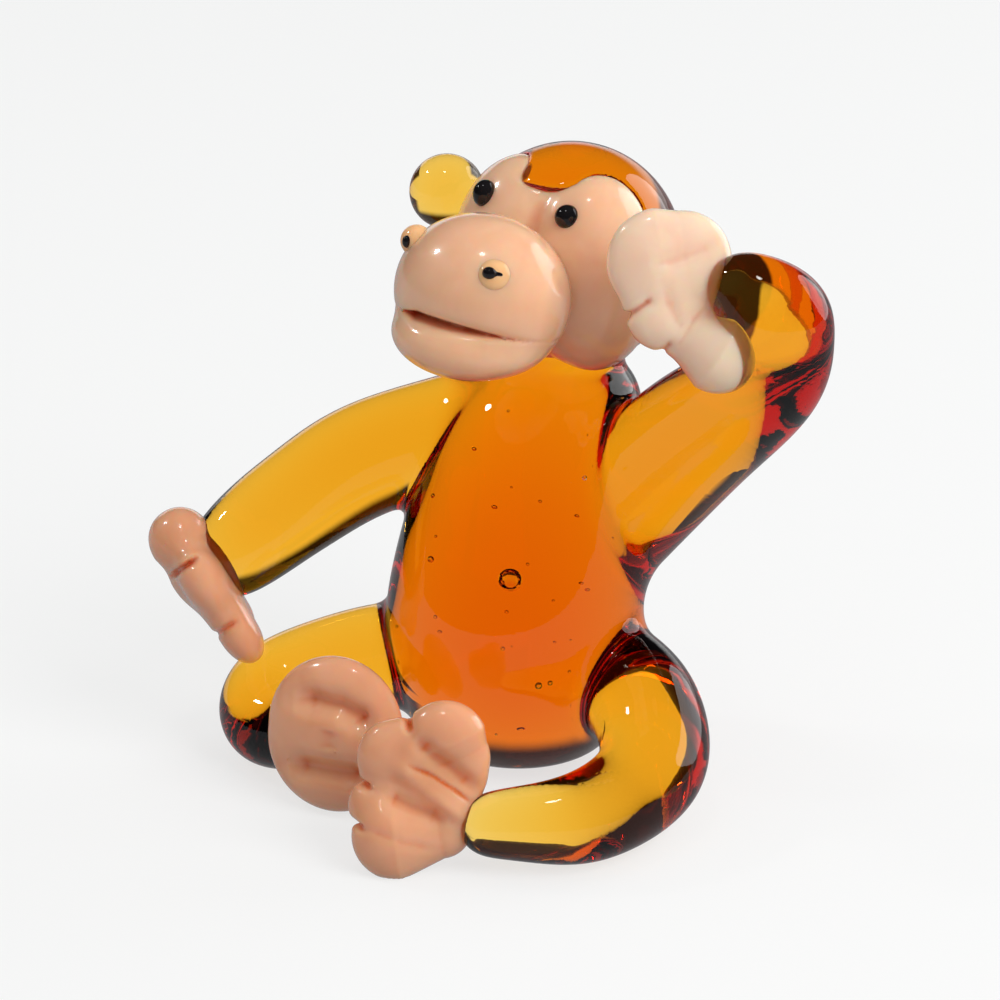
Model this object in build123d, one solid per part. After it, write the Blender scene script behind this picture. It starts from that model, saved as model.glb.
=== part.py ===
from build123d import *
import math
import os

# Seated monkey figurine, drawn and fused from hot glass at a torch. Millimetres.
# The origin is the middle of the flat seat on the table. The monkey faces -Y,
# so its own left is +X, and its left hand is raised beside its left ear.

# Every blob of glass keeps a tiny flat where its rod let go, at this angle from the middle
pole_angle = 86

# Cuts and sight lines reach this far, past the whole figurine
overrun = 80.0

# Torso: one thick gather, flat below, widest at the belly, leaning back to the neck
torso_height = 33.6
belly_radius = 10.8
neck_set_back = 6.2
torso_height_shares = (0, 0.05, 0.15, 0.36, 0.6, 0.8, 0.92, 1)
torso_radius_shares = (0.52, 0.74, 0.91, 1, 0.93, 0.81, 0.68, 0.44)
torso_back_shares = (0.04, 0, -0.04, -0.08, 0.14, 0.48, 0.74, 0.92)

# Head: a slightly tall ball, its underside sunk into the neck
head_radius = 9.3
head_half_height = 9.4
head_set_back = 1.2
neck_sink = 1.2

# Ears: round beads on the sides of the head
ear_radius = 3.15
ear_sink = 0.7
ear_rise = 4.0
ear_forward = 2.3

# Face: two flesh pads that take the place of the front of the ball
face_set_back = 4.4
face_recess = 0.55
pad_radius_share = 0.624
pad_height_share = 0.947
pad_spacing_share = 0.366
pad_forward = 2.2

# Muzzle: a broad gather over a fuller lower lip, with a curved mouth pressed in
muzzle_half_width = 7.45
muzzle_radius = 6.55
muzzle_forward = 12.4
muzzle_roll = 4
lip_radius = 6.4
lip_half_height = 3.6
lip_forward = 1.4
lip_drop = 3.1
mouth_drop = 3.5
mouth_pitch = 14
mouth_depth = 2.2
mouth_gape = 1.7
mouth_radius = 12.4

# Nostrils: clear beads that carry black dots
bead_radius = 1.25
bead_side = 4.1
bead_rise = 4.3
bead_sink = 0.4
nostril_radius = 0.6
nostril_sink = 0.3

# Eyes: black beads pressed into the pads
eye_radius = 1.1
eye_side = 4.2
eye_rise = 6.2
eye_sink = 0.2

# Arms: rods that taper along a bent path, in steps from a shoulder inside the torso.
# The left one has a sharper bend at the wrist, with steps of its own.
left_shoulder_side = 3.0
left_shoulder_back = 4.6
left_shoulder_drop = 16.4
left_arm_steps = (
    Vector(0, 0, 0),
    Vector(10.2, 0.1, 11.5),
    Vector(19.2, -1.9, 19.8),
    Vector(21.0, -2.8, 25.4),
)
left_arm_radii = (6.0, 5.6, 4.5, 4.1)
left_wrist_steps = (Vector(0, 0, 0), Vector(-1.8, -0.8, 1.8), Vector(-4.0, -1.6, 2.4))
left_wrist_radii = (left_arm_radii[-1], 3.4, 2.9)
right_shoulder_side = 4.0
right_shoulder_back = 3.5
right_shoulder_drop = 6.2
right_arm_steps = (
    Vector(0, 0, 0),
    Vector(-9.4, -5.9, -3.5),
    Vector(-13.6, -10.9, -7.0),
    Vector(-15.3, -14.9, -9.2),
    Vector(-16.3, -17.5, -10.8),
)
right_arm_radii = (5.4, 5.0, 4.5, 4.0, 3.2)

# Legs: the same kind of rods, folded in front of the torso with the soles forward
left_leg_path = (
    Vector(4.5, 2.0, 9.2),
    Vector(13.2, -1.0, 8.0),
    Vector(17.8, -6.0, 5.0),
    Vector(17.4, -14.6, 3.9),
    Vector(11.6, -20.4, 4.1),
)
left_leg_radii = (4.8, 4.6, 4.3, 3.7, 2.9)
right_leg_path = (
    Vector(-4.0, -1.0, 8.4),
    Vector(-11.0, -6.8, 7.4),
    Vector(-16.5, -11.6, 4.9),
    Vector(-14.2, -15.8, 3.9),
    Vector(-7.2, -15.8, 5.0),
)
right_leg_radii = (4.6, 4.5, 4.2, 3.6, 3.2)

# Hands and left foot: fans of flat fingers with round edges, and pressed creases between
finger_thickness_share = 1.15
finger_rounding_share = 0.47
finger_heel_share = 0.72
crease_radius = 0.55
crease_half_length = 2.6
crease_reach = 3.4
left_hand_facing = Vector(0.62, -0.72, 0.30)
left_hand_set_back = 1.6
left_hand_angles = (123, 141, 167, -148, -89)
left_hand_reaches = (3.6, 4.8, 5.3, 5.2, 4.7)
left_hand_tips = (2.8, 3.3, 3.6, 2.2, 3.9)
right_hand_facing = Vector(-0.567, -0.659, -0.494)
right_hand_across = Vector(0.617, 0.057, -0.784)
right_hand_set_back = 2.2
right_hand_angles = (168, 78, 12, -40, -100)
right_hand_reaches = (3.6, 2.6, 6.0, 5.2, 3.4)
right_hand_tips = (3.0, 3.4, 2.9, 2.7, 2.8)
left_foot_facing = Vector(0.54, -0.81, 0.22)
left_foot_set_back = 0.9
left_foot_angles = (120, 147, 174, -165)
left_foot_reaches = (6.2, 7.7, 8.4, 6.4)
left_foot_tips = (3.9, 3.1, 2.4, 3.8)

# Right foot: a round pad with two tapered grooves and a dimple pressed into its front
right_foot_inward = 1.9
right_foot_forward = 2.6
right_foot_rise = 1.4
right_foot_radius = 6.6
right_foot_thickness = 4.4
right_foot_rounding = 2.1
groove_radius = 1.15
groove_length = 5.6
groove_rises = (3.0, -3.6)
groove_side = 3.2
groove_depth = 0.9
groove_tip_share = 0.25
dimple_radius = 1.15
dimple_depth = 0.575
dimple_side = 1.8
dimple_rise = 0.6


def gather(center, radius, half_length, long_axis=Axis.Z):
    """A blob that has drawn itself round about its long axis, with a tiny flat at each pole."""
    rim = EllipticalCenterArc((0, 0), radius, half_length, -pole_angle, arc_size=2 * pole_angle)
    ends = Polyline(rim @ 1, (0, (rim @ 1).Y), (0, (rim @ 0).Y), rim @ 0)
    turned = Plane((0, 0, 0), z_dir=long_axis.direction)
    return Pos(center) * turned.location * revolve(Plane.XZ * make_face([rim, ends]), Axis.Z)


def rod(path, radii):
    """A round rod that tapers along its stations and ends in a ball."""
    spine = Spline(*path)
    side = (path[1] - path[0]).cross(path[-1] - path[1])
    sections = []
    for station, radius in zip(path, radii):
        along = spine % spine.param_at_point(station)
        sections.append(Plane(station, x_dir=side.cross(along), z_dir=along) * Circle(radius))
    return loft(sections) + Pos(path[-1]) * Sphere(radii[-1])


def puck(outline, thickness, rounding):
    """A flat pad with round edges."""
    flat = extrude(outline, thickness / 2, both=True)
    return fillet(flat.edges().filter_by(Axis.Z, reverse=True), rounding)


def fan(plane, angles, reaches, tips):
    """Flat fingers spread in the plane from its origin, with creases pressed between them."""
    paddle = Part()
    for angle, reach, tip in zip(angles, reaches, tips):
        outline = make_hull((Circle(tip * finger_heel_share) + Pos(reach, 0) * Circle(tip)).edges())
        thickness = tip * finger_thickness_share
        paddle += Rot(0, 0, angle) * puck(outline, thickness, thickness * finger_rounding_share)
    for angle, next_angle, tip, next_tip in zip(angles, angles[1:], tips, tips[1:]):
        depth = min(tip, next_tip) * finger_thickness_share / 2
        crease = gather(Vector(crease_reach, 0, depth), crease_radius, crease_half_length, Axis.X)
        turn = ((next_angle - angle + 180) % 360 - 180) / 2
        paddle -= Rot(0, 0, angle + turn) * crease
    return plane.location * paddle


def front_point(solid, x, z):
    """Where a line from the front first meets the solid."""
    line = Line((x, -overrun, z), (x, overrun, z))
    return (line & solid).vertices().sort_by(Axis.Y)[0].center()


# The torso, lofted through round sections
torso_sections = []
for height_share, radius_share, back_share in zip(
    torso_height_shares, torso_radius_shares, torso_back_shares
):
    middle = (0, back_share * neck_set_back, height_share * torso_height)
    torso_sections.append(Plane(middle) * Circle(radius_share * belly_radius))
torso = loft(torso_sections)

# The head on the neck, and the ears on the head
head_center = Vector(
    0, neck_set_back + head_set_back, torso_height - neck_sink + head_half_height
)
head = gather(head_center, head_radius, head_half_height)
torso -= head
ear_out = math.sqrt((head_radius + ear_radius - ear_sink) ** 2 - ear_rise**2 - ear_forward**2)
ears = {}
for side_name, side in (("right", -1), ("left", 1)):
    ear_center = head_center + Vector(side * ear_out, -ear_forward, ear_rise)
    ears[f"{side_name}_ear"] = Pos(ear_center) * Sphere(ear_radius) - head

# The muzzle, tilted a little, with its mouth and nostrils
muzzle_place = Pos(head_center + Vector(0, -muzzle_forward, 0)) * Rot(0, muzzle_roll, 0)
muzzle = muzzle_place * gather(Vector(0, 0, 0), muzzle_radius, muzzle_half_width, Axis.X)
muzzle += muzzle_place * gather(Vector(0, -lip_forward, -lip_drop), lip_radius, lip_half_height)
wedge = Polyline(
    (mouth_radius, 0),
    (mouth_radius + 2 * mouth_depth, mouth_gape),
    (mouth_radius + 2 * mouth_depth, -mouth_gape),
    close=True,
)
mouth = revolve(Plane.XZ * make_face(wedge), Axis.Z)
mouth_middle = Vector(0, mouth_radius - muzzle_radius + mouth_depth - lip_forward / 2, -mouth_drop)
muzzle -= muzzle_place * Pos(mouth_middle) * Rot(-mouth_pitch, 0, 0) * mouth
nostrils = {}
for side_name, side in (("right", -1), ("left", 1)):
    aim = (muzzle_place * Pos(side * bead_side, 0, bead_rise)).position
    seat = front_point(muzzle, aim.X, aim.Z)
    outward = (seat - muzzle_place.position).normalized()
    bead_center = seat - outward * bead_sink
    bead = Pos(bead_center) * Sphere(bead_radius)
    dot_center = bead_center + (outward + Vector(0, -1, 0)).normalized() * (bead_radius - nostril_sink)
    dot = Pos(dot_center) * Sphere(nostril_radius)
    nostrils[f"{side_name}_nostril_bead"] = bead - muzzle
    nostrils[f"{side_name}_nostril"] = dot - bead - muzzle

# The face pads, and the eyes on them
pads = {}
eyes = {}
front = Pos(head_center + Vector(0, -face_set_back - overrun / 2, 0)) * Box(overrun, overrun, overrun)
for side_name, side in (("right", -1), ("left", 1)):
    half = Pos(head_center + Vector(side * overrun / 2, 0, 0)) * Box(overrun, overrun, overrun)
    core = gather(head_center, head_radius - face_recess, head_half_height - face_recess) & front
    lobe_center = head_center + Vector(side * head_radius * pad_spacing_share, -pad_forward, 0)
    lobe = gather(
        lobe_center, head_radius * pad_radius_share, head_half_height * pad_height_share
    )
    pad = (core + lobe) & half
    pad -= muzzle
    ears[f"{side_name}_ear"] -= pad
    torso -= pad
    pads[f"{side_name}_face_pad"] = pad
    seat = front_point(pad, side * eye_side, head_center.Z + eye_rise)
    outward = (seat - lobe_center).normalized()
    eyes[f"{side_name}_eye"] = Pos(seat - outward * eye_sink) * Sphere(eye_radius) - pad
head = head - front - muzzle - list(pads.values())

# The arms and legs, fused to the torso
left_shoulder = Vector(left_shoulder_side, left_shoulder_back, torso_height - left_shoulder_drop)
left_arm_path = [left_shoulder + step for step in left_arm_steps]
left_wrist_path = [left_arm_path[-1] + step for step in left_wrist_steps]
right_shoulder = Vector(
    -right_shoulder_side, right_shoulder_back, torso_height - right_shoulder_drop
)
right_arm_path = [right_shoulder + step for step in right_arm_steps]
limbs = {
    "left_arm": rod(left_arm_path, left_arm_radii) + rod(left_wrist_path, left_wrist_radii) - torso,
    "right_arm": rod(right_arm_path, right_arm_radii) - torso,
    "left_leg": rod(left_leg_path, left_leg_radii) - torso,
    "right_leg": rod(right_leg_path, right_leg_radii) - torso,
}

# The hands and feet, fused to the ends of the limbs
up = Vector(0, 0, 1)
left_hand_plane = Plane(
    left_wrist_path[-1] - left_hand_facing.normalized() * left_hand_set_back,
    x_dir=up.cross(left_hand_facing),
    z_dir=left_hand_facing,
)
right_hand_plane = Plane(
    right_arm_path[-1] + right_hand_facing.normalized() * right_hand_set_back,
    x_dir=right_hand_across,
    z_dir=right_hand_facing,
)
left_foot_plane = Plane(
    left_leg_path[-1] - left_foot_facing.normalized() * left_foot_set_back,
    x_dir=up.cross(left_foot_facing),
    z_dir=left_foot_facing,
)
left_hand = fan(left_hand_plane, left_hand_angles, left_hand_reaches, left_hand_tips)
right_hand = fan(right_hand_plane, right_hand_angles, right_hand_reaches, right_hand_tips)
left_foot = fan(left_foot_plane, left_foot_angles, left_foot_reaches, left_foot_tips)
right_foot = Rot(90, 0, 0) * puck(Circle(right_foot_radius), right_foot_thickness, right_foot_rounding)
for rise in groove_rises:
    blunt_end = Vector(-groove_side, -right_foot_thickness / 2 - groove_radius + groove_depth, rise)
    taper = Rot(0, 90, 0) * Cone(groove_radius, groove_radius * groove_tip_share, groove_length)
    right_foot -= Pos(blunt_end) * (Sphere(groove_radius) + Pos(groove_length / 2, 0, 0) * taper)
dimple = Vector(dimple_side, -right_foot_thickness / 2 - dimple_radius + dimple_depth, dimple_rise)
right_foot -= Pos(dimple) * Sphere(dimple_radius)
right_foot_place = Vector(right_foot_inward, -right_foot_forward, right_foot_rise)
right_foot = Pos(right_leg_path[-1] + right_foot_place) * right_foot
ends = {
    "left_hand": left_hand - limbs["left_arm"],
    "right_hand": right_hand - limbs["right_arm"] - limbs["right_leg"],
    "left_foot": left_foot - limbs["left_leg"],
    "right_foot": right_foot - limbs["right_leg"],
}

# Everything that would reach below the table is pressed flat on it
pieces = {"torso": torso, "head": head, "muzzle": muzzle}
for group in (ears, nostrils, pads, eyes, limbs, ends):
    pieces.update(group)
table = Pos(0, 0, -overrun / 2) * Box(overrun, overrun, overrun)
os.makedirs("parts", exist_ok=True)
for name, piece in pieces.items():
    if piece.bounding_box().min.Z < 0:
        piece -= table
    export_step(piece, f"parts/{name}.step")
    print(name, round(piece.volume, 1), len(piece.solids()))
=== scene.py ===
import math
from itertools import product

import bpy
import numpy as np
from mathutils import Matrix, Vector


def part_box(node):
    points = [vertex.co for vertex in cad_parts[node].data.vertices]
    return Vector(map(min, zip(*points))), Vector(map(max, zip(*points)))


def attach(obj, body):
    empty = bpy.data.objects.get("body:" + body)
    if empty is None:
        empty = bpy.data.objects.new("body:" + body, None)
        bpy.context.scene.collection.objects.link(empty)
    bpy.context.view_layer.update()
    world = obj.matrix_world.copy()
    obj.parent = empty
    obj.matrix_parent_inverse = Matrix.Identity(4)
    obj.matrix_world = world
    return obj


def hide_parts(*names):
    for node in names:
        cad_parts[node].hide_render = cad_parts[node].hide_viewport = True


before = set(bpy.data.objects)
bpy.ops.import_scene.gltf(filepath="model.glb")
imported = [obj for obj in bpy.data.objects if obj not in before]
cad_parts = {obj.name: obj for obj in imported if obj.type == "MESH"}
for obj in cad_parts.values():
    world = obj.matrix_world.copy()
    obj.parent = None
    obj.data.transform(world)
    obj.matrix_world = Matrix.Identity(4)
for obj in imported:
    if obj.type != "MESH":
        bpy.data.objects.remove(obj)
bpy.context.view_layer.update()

# The amber body.
# Torso, head, ears, arms and legs are gathers and rods of clear amber glass, all hot
# enough at the torch to run together into one body, with soft fillets where they meet.

mm = 0.001  # sizes below are in millimetres, and times mm in metres


def through(stations, count):
    """Points on a smooth curve through the stations."""
    stations = np.array(stations, float)
    before = 2 * stations[:1] - stations[1:2]
    after = 2 * stations[-1:] - stations[-2:-1]
    padded = np.concatenate([before, stations, after])
    spread = np.linspace(0, len(stations) - 1.000001, count)
    index = spread.astype(int)
    t = (spread - index).reshape((-1,) + (1,) * (stations.ndim - 1))
    a, b, c, d = (padded[index + k] for k in range(4))
    return 0.5 * (2 * b + (c - a) * t + (2 * a - 5 * b + 4 * c - d) * t**2 + (3 * b - a - 3 * c + d) * t**3)


def ball(p, center, radii):
    """How far points lie outside a drawn-out ball."""
    q = p - np.array(center, float)
    radii = np.array(radii, float) * np.ones(3)
    scaled = np.linalg.norm(q / radii, axis=1)
    slope = np.linalg.norm(q / radii**2, axis=1)
    return scaled * (scaled - 1) / np.maximum(slope, 1e-6)


rod_margin = 6
out_of_reach = 12.0


def rod(p, path, radii, softness=0.4, count=28):
    """How far points lie outside a round rod that bends and tapers along its stations."""
    path = np.array(path, float)
    radii = np.array(radii, float)
    far = np.full(len(p), out_of_reach)
    reach = radii.max() + rod_margin
    near = np.all((p > path.min(0) - reach) & (p < path.max(0) + reach), axis=1)
    q = p[near]
    centers = through(path, count)
    sizes = through(radii, count)
    spacing = np.linalg.norm(np.diff(centers, axis=0), axis=1).mean()
    total = np.zeros(len(q))
    for center, size in zip(centers, sizes):
        gap = np.sqrt(np.square(q - center).sum(1)) - size
        total += np.exp(-gap / softness) * spacing / math.sqrt(2 * math.pi * softness * size)
    far[near] = -softness * np.log(np.maximum(total, 1e-13))
    return far


def fuse(a, b, flow):
    """Two hot pieces run together, with a fillet about this wide."""
    share = np.clip(0.5 + 0.5 * (b - a) / flow, 0, 1)
    return b + (a - b) * share - flow * share * (1 - share)


def press(a, tool, flow):
    """A tool leaves its shape in a hot piece."""
    return -fuse(-a, tool, flow)


coarse_stride = 4
close_strides = 1.4
slope_reach = 0.02
longest_push = 0.6
push_rounds = 7


def skin(field, low, high, step):
    """Vertices and quads of the surface where the field is zero, in millimetres."""
    low = np.array(low, float)
    counts = (np.ceil((np.array(high) - low) / step)).astype(int) + 1
    stride = coarse_stride
    coarse = [np.arange(0, c + stride, stride) for c in counts]
    knots = np.stack(np.meshgrid(*coarse, indexing="ij"), -1).reshape(-1, 3)
    rough = field(low + knots * step).reshape([len(c) for c in coarse])
    nearest = np.ix_(*[(np.arange(c) + stride // 2) // stride for c in counts])
    rough = rough[nearest]
    inside = rough < 0
    close = np.argwhere(np.abs(rough) < close_strides * stride * step)
    inside[tuple(close.T)] = field(low + close * step) < 0
    cells = counts - 1
    filled = np.zeros(cells, int)
    for i, j, k in product((0, 1), repeat=3):
        filled += inside[i:i + cells[0], j:j + cells[1], k:k + cells[2]]
    mixed = (filled > 0) & (filled < 8)
    number = -np.ones(cells, int)
    number[mixed] = np.arange(mixed.sum())
    points = low + (np.argwhere(mixed) + 0.5) * step
    reach = step * slope_reach
    for _ in range(push_rounds):
        value = field(points)
        slope = np.stack([(field(points + reach * axis) - field(points - reach * axis)) / (2 * reach)
                          for axis in np.eye(3)], -1)
        push = value[:, None] * slope / np.maximum(np.square(slope).sum(1), 0.05)[:, None]
        length = np.linalg.norm(push, axis=1, keepdims=True)
        points = points - push * np.minimum(1, longest_push * step / np.maximum(length, 1e-9))
    quads = []
    for axis in range(3):
        u, v = [k for k in range(3) if k != axis]
        here = [slice(1, c) for c in cells]
        here[axis] = slice(0, cells[axis])
        there = list(here)
        there[axis] = slice(1, cells[axis] + 1)
        a, b = inside[tuple(here)], inside[tuple(there)]
        crossing = np.argwhere(a != b)
        starts = crossing + np.array([0 if k == axis else 1 for k in range(3)])
        du, dv = np.eye(3, dtype=int)[u], np.eye(3, dtype=int)[v]
        ring = np.stack([number[tuple((starts - s).T)] for s in (0 * du, du, du + dv, dv)], 1)
        flip = a[tuple(crossing.T)] == (axis == 1)
        ring[flip] = ring[flip][:, ::-1]
        quads.append(ring)
    return points, np.concatenate(quads)


# How strongly the painted crease shade grows with the bend of the surface.
crease_shade_reach = 0.5
crease_shade_gain = 0.3
crease_shade_start = 0.06


def blown(name, field, low, high, step):
    """A solid of glass with the skin of the field, and a painted-shade mask that says how far into a crease
    each place on it lies.
    """
    points, quads = skin(field, low, high, step)
    mesh = bpy.data.meshes.new(name)
    mesh.from_pydata((points * mm).tolist(), [], quads.tolist())
    mesh.update()
    mesh.polygons.foreach_set("use_smooth", [True] * len(mesh.polygons))
    # Painted shade: the more a place lies in a crease, the more of the darker, redder crease colour it
    # gets.
    bend = -6 * field(points)
    for axis in np.eye(3) * crease_shade_reach:
        bend += field(points + axis) + field(points - axis)
    crease_shade = np.clip(-bend / crease_shade_reach**2 * crease_shade_gain - crease_shade_start, 0, 1)
    mesh.attributes.new("crease_shade", "FLOAT", "POINT").data.foreach_set("value", crease_shade.astype(np.float32))
    piece = bpy.data.objects.new(name, mesh)
    bpy.context.scene.collection.objects.link(piece)
    return piece


torso_heights = (0, 1.68, 5.04, 12.1, 20.2, 26.9, 30.9, 33.6)
torso_radii = (5.6, 8.0, 9.8, 10.8, 10.05, 8.75, 7.35, 4.75)
torso_backs = (0.25, 0, -0.25, -0.5, 0.87, 2.98, 4.6, 5.7)
torso_top = torso_heights[-1]
head_center = (0, 7.4, 41.8)
head_radii = (9.3, 9.3, 9.4)
right_ear_center = (-11.05, 5.1, 45.8)
left_ear_center = (11.0, 5.8, 44.9)
ear_radius = 3.15
left_arm_path = ((3.0, 4.6, 17.2), (13.2, 4.7, 28.7), (22.2, 2.7, 37.0), (24.0, 1.8, 42.6))
left_arm_radii = (6.0, 5.6, 4.5, 4.1)
left_wrist_path = ((24.0, 1.8, 42.6), (22.4, 1.3, 44.4), (20.4, 0.8, 45.0))
left_wrist_radii = (4.1, 3.4, 2.8)
right_arm_path = ((-4.0, 3.5, 27.4), (-13.4, -2.4, 23.9), (-17.6, -7.4, 20.4), (-19.3, -11.4, 18.2),
                  (-20.3, -14.0, 16.6))
right_arm_radii = (5.4, 5.0, 4.5, 4.0, 3.2)
left_leg_path = ((4.5, 2.0, 9.2), (13.2, -1.0, 8.0), (17.8, -6.0, 5.0), (17.4, -14.6, 3.9),
                 (11.6, -20.2, 3.7))
left_leg_radii = (4.8, 4.6, 4.3, 3.7, 2.6)
right_leg_path = ((-4.0, -1.0, 8.4), (-11.0, -6.8, 7.4), (-16.5, -11.6, 4.9), (-14.2, -15.8, 3.9),
                  (-7.2, -15.8, 5.0))
right_leg_radii = (4.6, 4.5, 4.2, 3.6, 3.2)
seat_flow = 1.2
neck_flow = 1.6
ear_flow = 0.8
limb_flow = 1.6

profile_count = 200
profile = through(np.array([torso_heights, torso_radii, torso_backs]).T, profile_count)
profile_slope = np.gradient(profile[:, 1], profile[:, 0])


def torso(p):
    """The torso gather, flat below, leaning back towards the neck."""
    z = np.clip(p[:, 2], 0, torso_top)
    radius = np.interp(z, profile[:, 0], profile[:, 1])
    back = np.interp(z, profile[:, 0], profile[:, 2])
    slope = np.interp(z, profile[:, 0], profile_slope)
    side = (np.hypot(p[:, 0], p[:, 1] - back) - radius) / np.sqrt(1 + slope**2)
    ends = np.maximum(-p[:, 2], p[:, 2] - torso_top)
    return -fuse(-side, -ends, seat_flow)


left_pad_center = (4.0, 5.0, 41.7)
left_pad_radii = (5.35, 5.7, 8.3)
right_pad_center = (-2.7, 5.0, 41.7)
right_pad_radii = (6.4, 6.0, 8.75)
face_side = -0.47
brow_rise = 0.815
lobe_flow = 0.6
shell_inside = 7.5
bed_gap = 0.1
bed_depth_gap = 0.15
shell_flow = 0.3


def face_lobes(p):
    """The two round pads that the face is melted from."""
    left = ball(p, left_pad_center, left_pad_radii)
    return fuse(left, ball(p, right_pad_center, right_pad_radii), lobe_flow)


def face_outline(p):
    """How far points lie outside the outline of the face, and how deep in the head they are."""
    q = p - np.array(head_center)
    depth = np.linalg.norm(q, axis=1)
    on_head = np.array(head_center) + q * (head_radii[0] / np.maximum(depth, 0.1))[:, None]
    core = np.maximum(q[:, 1] - face_side * depth, q[:, 2] - brow_rise * depth)
    return fuse(face_lobes(on_head), core, lobe_flow), shell_inside - depth


def amber(p):
    """The whole amber body, with a shallow bed on the front of the head for the face."""
    head = ball(p, head_center, head_radii)
    outline, inside = face_outline(p)
    around_face = np.maximum(outline + bed_gap, inside + bed_depth_gap)
    body = fuse(torso(p), press(head, around_face, shell_flow), neck_flow)
    for ear_center in (right_ear_center, left_ear_center):
        body = fuse(body, ball(p, ear_center, ear_radius), ear_flow)
    for path, radii in ((left_arm_path, left_arm_radii), (left_wrist_path, left_wrist_radii),
                        (right_arm_path, right_arm_radii), (left_leg_path, left_leg_radii),
                        (right_leg_path, right_leg_radii)):
        body = fuse(body, rod(p, path, radii), limb_flow)
    return np.maximum(body, -p[:, 2])


body_low = (-25, -26, -0.9)
body_high = (30, 19, 53)
body_step = 0.36
amber_body = blown("amber_body", amber, body_low, body_high, body_step)

# Air bubbles.
# Air caught between the gathers stays in the torso as one larger bubble and a scatter of
# seeds. Each is a hole in the amber, so its skin faces inwards.

large_bubbles = (
    ((3.3, -5.5, 17.9), 0.95),
    ((8.8, -3.0, 27.3), 0.22),
    ((-4.4, -4.5, 22.8), 0.2),
    ((-3.6, -5.0, 17.6), 0.28),
    ((6.2, -6.0, 9.7), 0.3),
    ((7.2, -5.8, 10.0), 0.22),
)
seed_count = 34
seed_low = (-9, -9, 3)
seed_high = (9, 7, 33)
seed_radii = (0.06, 0.16)
seed_depth = 1.2
bubble_rings = 10
bubble_sides = 16


def bubble(center, radius):
    """Vertices and inward faces of one round hole."""
    turn = np.linspace(0, 2 * math.pi, bubble_sides, endpoint=False)
    fall = np.linspace(0, math.pi, bubble_rings + 1)[1:-1]
    rings = [(math.sin(f) * math.cos(t), math.sin(f) * math.sin(t), math.cos(f))
             for f in fall for t in turn]
    points = np.array([(0, 0, 1)] + rings + [(0, 0, -1)]) * radius + np.array(center)
    last = len(points) - 1
    base = last - bubble_sides
    faces = []
    for side in range(bubble_sides):
        after = (side + 1) % bubble_sides
        faces.append((0, 1 + after, 1 + side))
        faces.append((last, base + side, base + after))
        for ring in range(bubble_rings - 2):
            a = 1 + ring * bubble_sides
            b = a + bubble_sides
            faces.append((a + side, a + after, b + after, b + side))
    return points, faces


dice = np.random.default_rng(7)
bubbles = list(large_bubbles)
while len(bubbles) < len(large_bubbles) + seed_count:
    place = dice.uniform(seed_low, seed_high)
    if torso(place[None])[0] < -seed_depth:
        bubbles.append((tuple(place), dice.uniform(*seed_radii)))

body_mesh = amber_body.data
points = [tuple(v.co) for v in body_mesh.vertices]
quads = [tuple(polygon.vertices) for polygon in body_mesh.polygons]
for center, radius in bubbles:
    more_points, more_faces = bubble(center, radius)
    start = len(points)
    points += (more_points * mm).tolist()
    quads += [tuple(start + k for k in corners) for corners in more_faces]
holed_mesh = bpy.data.meshes.new("amber_with_bubbles")
holed_mesh.from_pydata(points, [], quads)
holed_mesh.update()
holed_mesh.polygons.foreach_set("use_smooth", [True] * len(holed_mesh.polygons))
amber_body.data = holed_mesh
bpy.data.meshes.remove(body_mesh)


def rippled(tree, shader, scale, strength, detail=2):
    """Glass is never quite smooth: low waves, a tenth of a millimetre high at most."""
    place = tree.nodes.new("ShaderNodeTexCoord")
    ripple = tree.nodes.new("ShaderNodeTexNoise")
    ripple.inputs["Scale"].default_value = scale
    ripple.inputs["Detail"].default_value = detail
    tree.links.new(place.outputs["Object"], ripple.inputs["Vector"])
    wave = tree.nodes.new("ShaderNodeBump")
    wave.inputs["Strength"].default_value = strength
    wave.inputs["Distance"].default_value = 0.1 * mm
    tree.links.new(ripple.outputs["Fac"], wave.inputs["Height"])
    tree.links.new(wave.outputs["Normal"], shader.inputs["Normal"])


amber_stain = (0.976, 0.783, 0.0, 1)
amber_depth = 450
amber_glass = bpy.data.materials.new("amber_glass")
amber_glass.use_nodes = True
nodes, links = amber_glass.node_tree.nodes, amber_glass.node_tree.links
glass = nodes["Principled BSDF"]
glass.inputs["Base Color"].default_value = (1, 1, 1, 1)
glass.inputs["Transmission Weight"].default_value = 1
glass.inputs["Roughness"].default_value = 0.0
glass.inputs["IOR"].default_value = 1.5
rippled(amber_glass.node_tree, glass, scale=120, strength=0.08, detail=1)
stain = nodes.new("ShaderNodeVolumeAbsorption")
stain.inputs["Color"].default_value = amber_stain
stain.inputs["Density"].default_value = amber_depth
links.new(stain.outputs["Volume"], nodes["Material Output"].inputs["Volume"])
amber_body.data.materials.append(amber_glass)
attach(amber_body, "root")
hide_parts("torso", "head", "right_ear", "left_ear", "right_arm", "left_arm",
            "right_leg", "left_leg")

# The face.
# Two pads of opaque flesh glass melted on the front of the head, side by side, and the
# broad muzzle gather on top of them, with its mouth pressed in by a curved blade.


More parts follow.
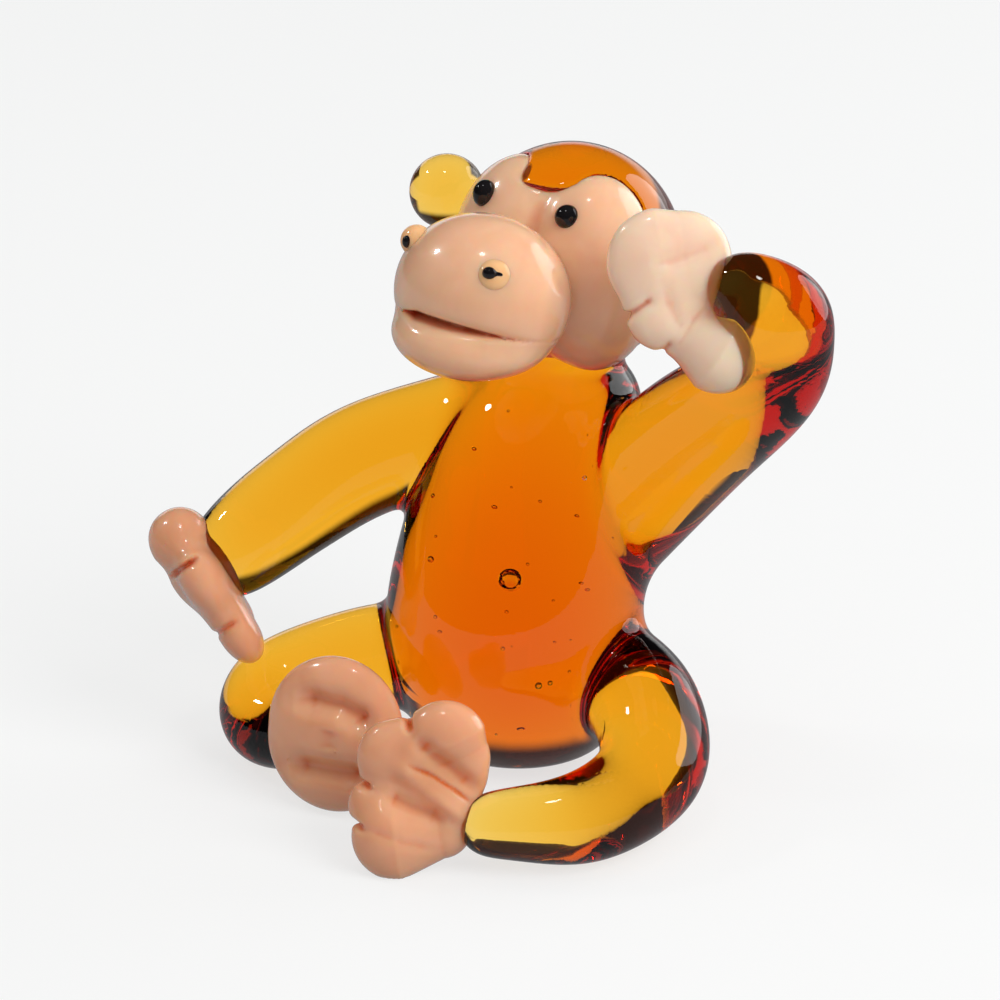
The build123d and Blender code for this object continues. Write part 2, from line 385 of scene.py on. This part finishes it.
def flesh(name, light, shade, crease_shade_color):
    """Opaque flesh glass: cloudy inside, with painted shade that makes it darker and redder in its creases,
    and a fire-polished skin.
    """
    material = bpy.data.materials.new(name)
    material.use_nodes = True
    nodes, links = material.node_tree.nodes, material.node_tree.links
    shader = nodes["Principled BSDF"]
    place = nodes.new("ShaderNodeTexCoord")
    cloud = nodes.new("ShaderNodeTexNoise")
    cloud.inputs["Scale"].default_value = 190
    cloud.inputs["Detail"].default_value = 3
    cloud.inputs["Roughness"].default_value = 0.45
    cloud.inputs["Distortion"].default_value = 0.6
    links.new(place.outputs["Object"], cloud.inputs["Vector"])
    tone = nodes.new("ShaderNodeValToRGB")
    tone.color_ramp.elements[0].position = 0.3
    tone.color_ramp.elements[0].color = light + (1,)
    tone.color_ramp.elements[1].position = 0.72
    tone.color_ramp.elements[1].color = shade + (1,)
    links.new(cloud.outputs["Fac"], tone.inputs["Fac"])
    # Painted shade: the crease mask mixes a darker, redder colour into the flesh colour in its creases.
    crease_shade = nodes.new("ShaderNodeAttribute")
    crease_shade.attribute_name = "crease_shade"
    crease_shade_mix = nodes.new("ShaderNodeMix")
    crease_shade_mix.data_type = "RGBA"
    crease_shade_mix.inputs["B"].default_value = crease_shade_color + (1,)
    links.new(crease_shade.outputs["Fac"], crease_shade_mix.inputs["Factor"])
    links.new(tone.outputs["Color"], crease_shade_mix.inputs["A"])
    links.new(crease_shade_mix.outputs["Result"], shader.inputs["Base Color"])
    shader.inputs["Roughness"].default_value = 0.22
    shader.inputs["IOR"].default_value = 1.5
    shader.inputs["Subsurface Weight"].default_value = 0.8
    shader.inputs["Subsurface Radius"].default_value = (2.8 * mm, 1.0 * mm, 0.5 * mm)
    shader.inputs["Subsurface Scale"].default_value = 1
    shader.inputs["Coat Weight"].default_value = 0.8
    shader.inputs["Coat Roughness"].default_value = 0.03
    shader.inputs["Coat IOR"].default_value = 1.5
    rippled(material.node_tree, shader, scale=420, strength=0.12)
    return material


# The third colour of each flesh glass is the painted shade in its creases.
pale_flesh = flesh("pale_flesh_glass", (0.93, 0.59, 0.39), (0.84, 0.48, 0.29), (0.70, 0.23, 0.10))

pad_core_radii = (8.9, 8.9, 9.0)
pad_core_flow = 0.9
pad_edge_flow = 0.35
pad_crease_side = 1.2
pad_crease_depth = 0.55
pad_crease_width = 0.95
pad_crease_back = 4.0
muzzle_center = (0, -5.0, 41.8)
muzzle_radii = (7.45, 6.55, 6.55)
muzzle_roll = 4
lip_center = (0.0, -1.3, -2.95)
lip_radii = (6.45, 6.35, 3.3)
lip_flow = 0.7
mouth_radius = 12.28
mouth_back = 7.35
mouth_side = 0.9
mouth_left = 4.8
mouth_right = 7.4
mouth_drop = 4.05
mouth_roll = -1
mouth_pitch = 14
mouth_slope = 0.25
mouth_flow = 0.6
behind_mouth = 5.0


def seen_from(p, center, turn):
    """Points as a turned piece sees them."""
    return (p - np.array(center, float)) @ np.array(turn, float)


def muzzle(p):
    """The muzzle gather with its lower lip and mouth."""
    q = seen_from(p, muzzle_center, Matrix.Rotation(math.radians(muzzle_roll), 3, "Y"))
    whole = fuse(ball(q, (0, 0, 0), muzzle_radii), ball(q, lip_center, lip_radii), lip_flow)
    tilt = (Matrix.Rotation(math.radians(mouth_roll), 3, "Y")
            @ Matrix.Rotation(math.radians(-mouth_pitch), 3, "X"))
    m = seen_from(q, (mouth_side, mouth_back, -mouth_drop), tilt)
    ends = np.minimum(m[:, 0] + mouth_left, mouth_right - m[:, 0])
    depth = np.minimum(np.hypot(m[:, 0], m[:, 1]) - mouth_radius, ends)
    wedge = np.abs(m[:, 2]) - np.maximum(depth, -1) * mouth_slope
    wedge = np.where(m[:, 1] < 0, wedge, behind_mouth)
    return press(whole, wedge, mouth_flow)


def face(p):
    """Both pads, with the crease between them."""
    outline, inside = face_outline(p)
    dome = fuse(face_lobes(p), ball(p, head_center, pad_core_radii), pad_core_flow)
    front = np.clip((pad_crease_back - p[:, 1]) / pad_crease_back, 0, 1) * np.clip(-inside, 0, 1)
    aside = (p[:, 0] - pad_crease_side) / pad_crease_width
    crease = pad_crease_depth * front * np.exp(-(aside**2))
    return press(press(dome + crease, -outline, pad_edge_flow), -inside, shell_flow)


for name, field, low, high, step, replaced in (
    ("face_pads", face, (-10.5, -4.0, 31), (10.8, 12.5, 52), 0.3, ("right_face_pad", "left_face_pad")),
    ("muzzle_gather", muzzle, (-8.6, -13.2, 33.6), (8.6, 2.6, 49.6), 0.2, ("muzzle",)),
):
    piece = blown(name, field, low, high, step)
    piece.data.materials.append(pale_flesh)
    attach(piece, "root")
    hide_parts(*replaced)

# Hands and feet.
# Gathers of the same flesh glass pressed flat on the ends of the limbs. A hot blade parts
# the fingers and toes, and draws the folds of palm and sole.


class Pad:
    """A pad of glass in its own plane: lobes run together, then creases drawn with a blade."""

    roundness = 2.1
    lobe_flow = 1.1
    front_depth = 0.9
    crease_taper = 4
    crease_start = 0.2

    def __init__(self, center, facing, across=None):
        self.out = Vector(facing).normalized()
        self.across = (Vector(across) if across else Vector((0, 0, 1)).cross(self.out)).normalized()
        self.up = self.out.cross(self.across)
        self.center = Vector(center)
        self.lobes = []
        self.creases = []

    def lobe(self, start, end, radii, thickness, lifts=(0, 0)):
        self.lobes.append([np.array(v, float) for v in (start, end, radii, thickness, lifts)])

    def crease(self, route, depth, width):
        self.creases.append((np.array(route, float), depth, width))

    def field(self, p):
        q = seen_from(p, self.center, np.array((self.across, self.up, self.out)).T)
        flat, out = q[:, :2], q[:, 2]
        whole = None
        for start, end, radii, thickness, lifts in self.lobes:
            run = end - start
            t = np.clip((flat - start) @ run / max(run @ run, 1e-9), 0, 1)
            width = radii[0] + (radii[1] - radii[0]) * t
            half = thickness[0] + (thickness[1] - thickness[0]) * t
            lift = lifts[0] + (lifts[1] - lifts[0]) * t
            side = np.linalg.norm(flat - start - t[:, None] * run, axis=1) / width
            depth = np.abs(out - lift) / half
            value = (side**self.roundness + depth**self.roundness) ** (1 / self.roundness) - 1
            value = value * np.minimum(width, half)
            whole = value if whole is None else fuse(whole, value, self.lobe_flow)
        front = np.clip(out + self.front_depth, 0, 1)
        for route, depth, width in self.creases:
            near = np.full(len(p), 1e9)
            along = np.zeros(len(p))
            for k, (a, b) in enumerate(zip(route, route[1:])):
                run = b - a
                t = np.clip((flat - a) @ run / (run @ run), 0, 1)
                gap = np.linalg.norm(flat - a - t[:, None] * run, axis=1)
                along = np.where(gap < near, (k + t) / (len(route) - 1), along)
                near = np.minimum(near, gap)
            ends = self.crease_taper * np.minimum(along, 1 - along) + self.crease_start
            ends = np.clip(ends, 0, 1)
            whole = whole + depth * ends * front * np.exp(-((near / width) ** 2))
        return np.maximum(whole, -p[:, 2])


left_hand = Pad((19.0, 1.36, 44.5), (0.62, -0.72, 0.30))
left_hand.lobe((-5.0, 2.1), (-3.2, 2.3), (4.3, 3.85), (1.9, 1.9), (0.3, 0.0))
left_hand.lobe((-5.2, -2.3), (-2.6, 0.0), (2.5, 2.8), (1.7, 1.8), (0.5, 0.2))
left_hand.lobe((-3.2, -3.2), (-0.7, -5.0), (2.2, 3.35), (2.0, 3.2), (0.4, 1.3))
left_hand.crease(((-8.2, -2.4), (-7.0, -1.5), (-5.8, -0.6)), 0.3, 0.35)
left_hand.crease(((-5.8, -5.7), (-5.0, -4.8), (-4.4, -4.0)), 0.25, 0.35)
left_hand.crease(((-5.1, 0.9), (-4.7, -0.9), (-4.0, -2.5), (-3.2, -3.3)), 0.2, 0.6)
left_hand.crease(((-6.2, 2.0), (-4.4, 2.2), (-2.4, 2.8), (-0.4, 3.5)), 0.18, 0.6)
left_hand.crease(((-3.6, -2.4), (-1.8, -2.2), (0.4, -2.9)), 0.2, 0.7)
left_hand.crease(((-6.6, 3.9), (-5.4, 1.4), (-5.2, -1.2)), -0.18, 1.1)

right_hand = Pad((-21.5, -15.4, 15.6), (-0.567, -0.659, -0.494), (0.617, 0.057, -0.784))
for angle, reach, tip, thickness in ((168, 3.2, 2.95, 2.7), (78, 2.6, 3.4, 2.0), (12, 6.0, 2.8, 1.7),
                                     (-40, 5.2, 2.7, 1.7), (-100, 3.4, 2.8, 1.9)):
    ray = np.array((math.cos(math.radians(angle)), math.sin(math.radians(angle))))
    right_hand.lobe((0, 0), ray * reach, (tip * 0.8, tip), (2.1, thickness))
right_hand.crease(((-1.15, 0.5), (-1.15, 4.0), (-1.15, 8.0)), 0.55, 0.28)
right_hand.crease(((4.95, -0.5), (4.95, 3.0), (4.95, 7.0)), 0.28, 0.3)

left_foot = Pad((11.1, -19.7, 3.9), (0.54, -0.81, 0.22))
left_foot.lobe((-2.7, 5.0), (-3.3, 6.3), (3.0, 3.4), (1.9, 2.3), (0.2, 0.5))
left_foot.lobe((-2.2, 2.6), (-7.3, 4.9), (2.0, 3.1), (1.8, 2.0), (0.0, 0.0))
left_foot.lobe((-3.5, 1.2), (-9.3, 1.2), (1.8, 1.75), (1.9, 1.5), (0.0, 0.0))
left_foot.lobe((-3.6, -0.7), (-7.1, -1.2), (2.5, 3.6), (1.9, 2.3), (0.3, 1.3))
left_foot.crease(((-6.5, 9.0), (-6.2, 8.0), (-6.0, 7.2)), 0.4, 0.35)
left_foot.crease(((-5.6, 6.9), (-4.3, 5.8), (-2.5, 4.2), (-0.6, 2.3)), 0.75, 0.75)
left_foot.crease(((-6.1, 4.7), (-4.1, 3.8), (-2.6, 2.8), (-1.2, 1.7)), 0.3, 0.22)
left_foot.crease(((-7.6, 5.0), (-5.4, 3.4), (-3.2, 1.7), (-1.0, 0.2)), -0.5, 0.75)
left_foot.crease(((-8.2, 2.1), (-5.9, 1.2), (-3.0, 0.3)), 0.5, 0.75)
left_foot.crease(((-9.6, -0.2), (-6.6, -1.2), (-4.0, -2.0)), 0.16, 0.4)
left_foot.crease(((-10.9, 3.1), (-10.0, 2.9), (-9.0, 2.6)), 0.4, 0.3)
left_foot.crease(((-11.4, -0.1), (-10.4, -0.2), (-9.4, -0.4)), 0.4, 0.3)

right_foot = Pad((-5.2, -18.4, 6.4), (0.2, -0.96, 0.2))
right_foot.lobe((0, -0.5), (0, 0.5), (6.0, 6.0), (2.4, 2.4))
right_foot.crease(((-3.2, 2.5), (-1.2, 2.9), (1.0, 2.8), (2.6, 2.2), (3.6, 1.2)), 1.0, 0.95)
right_foot.crease(((0.5, 0.9), (0.4, 0.0), (0.5, -0.9)), 0.28, 0.9)
right_foot.crease(((-3.3, -2.8), (-1.0, -2.6), (1.4, -2.6), (4.2, -2.6)), 1.05, 1.0)

hand_flesh = flesh("hand_flesh_glass", (0.98, 0.73, 0.56), (0.92, 0.63, 0.46), (0.74, 0.32, 0.17))
tan_flesh = flesh("tan_flesh_glass", (0.84, 0.45, 0.27), (0.74, 0.36, 0.2), (0.78, 0.22, 0.06))

pad_margin = 2.5
pad_step = 0.2

for node, pad, material in (("left_hand", left_hand, hand_flesh),
                            ("right_hand", right_hand, tan_flesh),
                            ("left_foot", left_foot, tan_flesh),
                            ("right_foot", right_foot, tan_flesh)):
    low, high = [np.array(corner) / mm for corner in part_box(node)]
    piece = blown(node + "_pad", pad.field, low - pad_margin, high + pad_margin, pad_step)
    piece.data.materials.append(material)
    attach(piece, "root")
    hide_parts(node)

# Eyes and nostrils.
# Dots of black glass touched on with a thin rod. The nostrils sit on beads of cloudy honey
# glass, and the left one pulled a short tail when the rod let go.

black_glass = bpy.data.materials.new("black_glass")
black_glass.use_nodes = True
nodes, links = black_glass.node_tree.nodes, black_glass.node_tree.links
shader = nodes["Principled BSDF"]
place = nodes.new("ShaderNodeTexCoord")
smoke = nodes.new("ShaderNodeTexNoise")
smoke.inputs["Scale"].default_value = 900
links.new(place.outputs["Object"], smoke.inputs["Vector"])
inks = nodes.new("ShaderNodeValToRGB")
inks.color_ramp.elements[0].color = (0.003, 0.003, 0.004, 1)
inks.color_ramp.elements[1].color = (0.012, 0.011, 0.012, 1)
links.new(smoke.outputs["Fac"], inks.inputs["Fac"])
links.new(inks.outputs["Color"], shader.inputs["Base Color"])
shader.inputs["Roughness"].default_value = 0.04

bead_glass = bpy.data.materials.new("bead_glass")
bead_glass.use_nodes = True
nodes, links = bead_glass.node_tree.nodes, bead_glass.node_tree.links
shader = nodes["Principled BSDF"]
shader.inputs["Base Color"].default_value = (0.95, 0.52, 0.26, 1)
shader.inputs["Subsurface Weight"].default_value = 0.6
shader.inputs["Subsurface Radius"].default_value = (1.2 * mm, 0.7 * mm, 0.4 * mm)
shader.inputs["Subsurface Scale"].default_value = 1
shader.inputs["Roughness"].default_value = 0.05
rippled(bead_glass.node_tree, shader, scale=500, strength=0.1)

eye_radius = 1.1
left_eye_radii = (1.0, 1.05, 1.0)
right_eye_radii = (0.95, 1.1, 1.15)
left_eye_shift = (-0.2, -0.1, -0.45)
right_eye_shift = (0.0, -0.15, 0.0)
left_bead_center = (3.46, -8.21, 44.72)
left_bead_radius = 1.7
left_dot_center = (3.9, -9.4, 45.6)
left_dot_radii = (0.6, 0.5, 0.52)
tail_ends = ((0.85, 0.5, -0.1), (0.85, 0.5, -0.42))
tail_radii = (0.34, 0.13)
tail_softness = 0.05
tail_flow = 0.1
right_bead_center = (-5.1, -7.0, 45.9)
right_bead_radius = 1.3
right_dot_center = (-5.19, -8.15, 46.1)
right_dot_radii = (0.38, 0.4, 0.52)


def seat(node, radius, shift):
    """The middle of an eye whose back is sunk into the face."""
    low, high = [np.array(corner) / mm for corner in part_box(node)]
    middle = (low + high) / 2
    return np.array((middle[0], low[1] + radius, middle[2])) + shift


right_eye_center = seat("right_eye", eye_radius, right_eye_shift)
left_eye_center = seat("left_eye", eye_radius, left_eye_shift)


def right_eye(p):
    return ball(p, right_eye_center, right_eye_radii)


def left_eye(p):
    return ball(p, left_eye_center, left_eye_radii)


def right_bead(p):
    return ball(p, right_bead_center, right_bead_radius)


def left_bead(p):
    return ball(p, left_bead_center, left_bead_radius)


def right_nostril(p):
    return ball(p, right_dot_center, right_dot_radii)


def left_nostril(p):
    dot = ball(p, left_dot_center, left_dot_radii)
    for end in tail_ends:
        tip = np.array(left_dot_center) + end
        dot = fuse(dot, rod(p, (left_dot_center, tip), tail_radii, tail_softness, count=10), tail_flow)
    return dot


dot_margin = 2.1
dot_step = 0.1

for node, field, center, material, slot in (
    ("right_eye", right_eye, right_eye_center, black_glass, "black_glass"),
    ("left_eye", left_eye, left_eye_center, black_glass, "black_glass"),
    ("right_nostril_bead", right_bead, right_bead_center, bead_glass, "clear_glass"),
    ("left_nostril_bead", left_bead, left_bead_center, bead_glass, "clear_glass"),
    ("right_nostril", right_nostril, right_dot_center, black_glass, "black_glass"),
    ("left_nostril", left_nostril, left_dot_center, black_glass, "black_glass"),
):
    center = np.array(center)
    piece = blown(node + "_dot", field, center - dot_margin, center + dot_margin, dot_step)
    piece.data.materials.append(material)
    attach(piece, "root")
    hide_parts(node)

# The studio.
# A pale table that runs out of sight, the camera at the photograph's angle, a bright
# backdrop behind the glass, a dim room on the camera's side, and a few small lamps.

aim = Vector((-1.51, -0.47, 22.08)) * mm
sensor_width = 36
lens = 151.2
toward = Vector((0.545, -0.750, 0.3746)).normalized()
right = Vector((0.809, 0.588, 0)).normalized()
above = toward.cross(right)
camera_distance = 350 * mm
camera_data = bpy.data.cameras.new("camera")
camera_data.sensor_width = sensor_width
camera_data.lens = lens
camera_data.clip_start = 0.01
camera = bpy.data.objects.new("camera", camera_data)
stand = Matrix((right, above, toward)).transposed().to_4x4()
stand.translation = aim + toward * camera_distance
camera.matrix_world = stand
bpy.context.scene.collection.objects.link(camera)
bpy.context.scene.camera = camera


def fade(tree, source, axis, dark, bright):
    """From 0 to 1 as a place or direction moves along an axis, from dark to bright."""
    along = tree.nodes.new("ShaderNodeVectorMath")
    along.operation = "DOT_PRODUCT"
    along.inputs[1].default_value = axis
    tree.links.new(source, along.inputs[0])
    ramp = tree.nodes.new("ShaderNodeMapRange")
    ramp.interpolation_type = "SMOOTHSTEP"
    ramp.inputs["From Min"].default_value = dark
    ramp.inputs["From Max"].default_value = bright
    tree.links.new(along.outputs["Value"], ramp.inputs["Value"])
    return ramp.outputs["Result"]


def gather(tree, operation, parts):
    """Several shares made into one, by their product or their largest."""
    total = parts[0]
    for part in parts[1:]:
        both = tree.nodes.new("ShaderNodeMath")
        both.operation = operation
        tree.links.new(total, both.inputs[0])
        tree.links.new(part, both.inputs[1])
        total = both.outputs["Value"]
    return total


def blend(tree, factor, first, second):
    """Between two colours or two colour sockets."""
    mix = tree.nodes.new("ShaderNodeMix")
    mix.data_type = "RGBA"
    for side, color in (("A", first), ("B", second)):
        if isinstance(color, tuple):
            mix.inputs[side].default_value = color
        else:
            tree.links.new(color, mix.inputs[side])
    tree.links.new(factor, mix.inputs["Factor"])
    return mix.outputs["Result"]


def glowing(tree, color):
    """A glow of that colour."""
    light = tree.nodes.new("ShaderNodeEmission")
    light.inputs["Color"].default_value = color
    return light


def either(tree, factor, first, second):
    """The second shader for one kind of ray, the first for the others."""
    mix = tree.nodes.new("ShaderNodeMixShader")
    tree.links.new(factor, mix.inputs["Fac"])
    tree.links.new(first, mix.inputs[1])
    tree.links.new(second, mix.inputs[2])
    return mix.outputs["Shader"]


table_half = 1.5
table_mesh = bpy.data.meshes.new("table")
table_mesh.from_pydata([(-table_half, -table_half, 0), (table_half, -table_half, 0),
                        (table_half, table_half, 0), (-table_half, table_half, 0)], [], [(0, 1, 2, 3)])
table = bpy.data.objects.new("table", table_mesh)
bpy.context.scene.collection.objects.link(table)

# Through the glass the table shows a painted lit patch behind the figurine and a painted lit strip further
# back, and is painted a near-black shade elsewhere. Each edge says whether its lit side is to the camera's
# right (1), left (-1) or neither (0), how many degrees that line turns to the back, where the edge lies on
# it, and how far it blurs to either side, the last two in millimetres.
level_toward = Vector((toward.x, toward.y, 0)).normalized()
patch_edges = (
    (1, 20, -24, 4),
    (-1, 15, -27.5, 1.5),
    (0, 90, -42, 8),
)
strip_edge = (0, 90, 60, 7)
cloth_color = (0.24, 0.24, 0.24, 1)
table_glow = (0.685, 0.695, 0.695, 1)
glow_on_glass = 0.3
unlit_table = (0.05, 0.045, 0.045, 1)
lit_table = (1.0, 1.0, 1.0, 1)
table_in_gloss = (0.35, 0.35, 0.36, 1)

table_paint = bpy.data.materials.new("table_paint")
table_paint.use_nodes = True
tree = table_paint.node_tree
tree.nodes.remove(tree.nodes["Principled BSDF"])
ray_kind = tree.nodes.new("ShaderNodeLightPath")
cloth = tree.nodes.new("ShaderNodeBsdfDiffuse")
cloth.inputs["Color"].default_value = cloth_color
glow = glowing(tree, table_glow)
bounce = tree.nodes.new("ShaderNodeMapRange")
bounce.inputs["To Min"].default_value = glow_on_glass
tree.links.new(ray_kind.outputs["Is Camera Ray"], bounce.inputs["Value"])
tree.links.new(bounce.outputs["Result"], glow.inputs["Strength"])
seen = tree.nodes.new("ShaderNodeAddShader")
tree.links.new(cloth.outputs["BSDF"], seen.inputs[0])
tree.links.new(glow.outputs["Emission"], seen.inputs[1])

spot = tree.nodes.new("ShaderNodeTexCoord").outputs["Object"]


def table_edge(side, turn, edge, blur):
    """How much painted light the table shows on either side of one edge."""
    turn = math.radians(turn)
    axis = side * right * math.cos(turn) - level_toward * math.sin(turn)
    return fade(tree, spot, axis, (edge - blur) * mm, (edge + blur) * mm)


patch = gather(tree, "MULTIPLY", [table_edge(*edge) for edge in patch_edges])
lit = gather(tree, "MAXIMUM", [patch, table_edge(*strip_edge)])
# Only rays through the glass see this painted light and painted shade on the table.
through_glass = tree.nodes.new("ShaderNodeEmission")
tree.links.new(blend(tree, lit, unlit_table, lit_table), through_glass.inputs["Color"])
# In reflections the table shows a painted reflection, an even dim grey darker than the table seen directly.
in_gloss = glowing(tree, table_in_gloss).outputs["Emission"]
opaque = either(tree, ray_kind.outputs["Is Glossy Ray"], seen.outputs["Shader"], in_gloss)
paint = either(tree, ray_kind.outputs["Is Transmission Ray"], opaque, through_glass.outputs["Emission"])
tree.links.new(paint, tree.nodes["Material Output"].inputs["Surface"])
table_mesh.materials.append(table_paint)

# The room is white behind the figurine and dark to the far left, to the far right, above
# and on the camera's side. Cloudy glass sees a soft grey instead, and the camera the backdrop.
backdrop_white = 0.913
dark_room = (0.025, 0.02, 0.022, 1)
white_room = (1.0, 1.0, 1.0, 1)
soft_room = (0.54, 0.52, 0.51, 1)
room_edges = (
    (right, -0.54, -0.40),
    (-right, -0.74, -0.60),
    (-toward, -0.12, 0.2),
    (-above, -0.62, -0.46),
)

world = bpy.data.worlds.new("world")
bpy.context.scene.world = world
world.use_nodes = True
tree = world.node_tree
background = tree.nodes["Background"]
background.inputs["Strength"].default_value = 1
bearing = tree.nodes.new("ShaderNodeTexCoord").outputs["Generated"]
ray_kind = tree.nodes.new("ShaderNodeLightPath")
opening = gather(tree, "MULTIPLY", [fade(tree, bearing, *edge) for edge in room_edges])
room = blend(tree, opening, dark_room, white_room)
soft = blend(tree, ray_kind.outputs["Diffuse Depth"], room, soft_room)
backdrop_color = (backdrop_white, backdrop_white, backdrop_white, 1)
backdrop = blend(tree, ray_kind.outputs["Is Camera Ray"], soft, backdrop_color)
tree.links.new(backdrop, background.inputs["Color"])

lamp_aim = Vector((0, 0, 30)) * mm
lamp_distance = 0.5


def lamp(name, bearing, size, power, seen_in_glass=True, shines=True):
    """A round lamp that looks at the figurine from that bearing."""
    data = bpy.data.lights.new(name, "AREA")
    data.shape = "DISK"
    data.size = size
    data.energy = power
    light = bpy.data.objects.new(name, data)
    bearing = Vector(bearing).normalized()
    light.matrix_world = bearing.to_track_quat("Z", "Y").to_matrix().to_4x4()
    light.location = lamp_aim + bearing * lamp_distance
    light.visible_transmission = seen_in_glass
    light.visible_glossy = shines
    bpy.context.scene.collection.objects.link(light)


lamp("key_lamp", (-0.72, -0.2, 0.66), size=0.05, power=0.2)
lamp("top_lamp", (0.0, -0.19, 0.98), size=0.05, power=0.1)
lamp("soft_box", (0.366, 0.857, 0.30), size=0.44, power=0.9, seen_in_glass=False)
lamp("fill_lamp", (0.78, -0.05, 0.62), size=0.36, power=1.6, seen_in_glass=False, shines=False)

bpy.context.scene.view_settings.view_transform = "Standard"
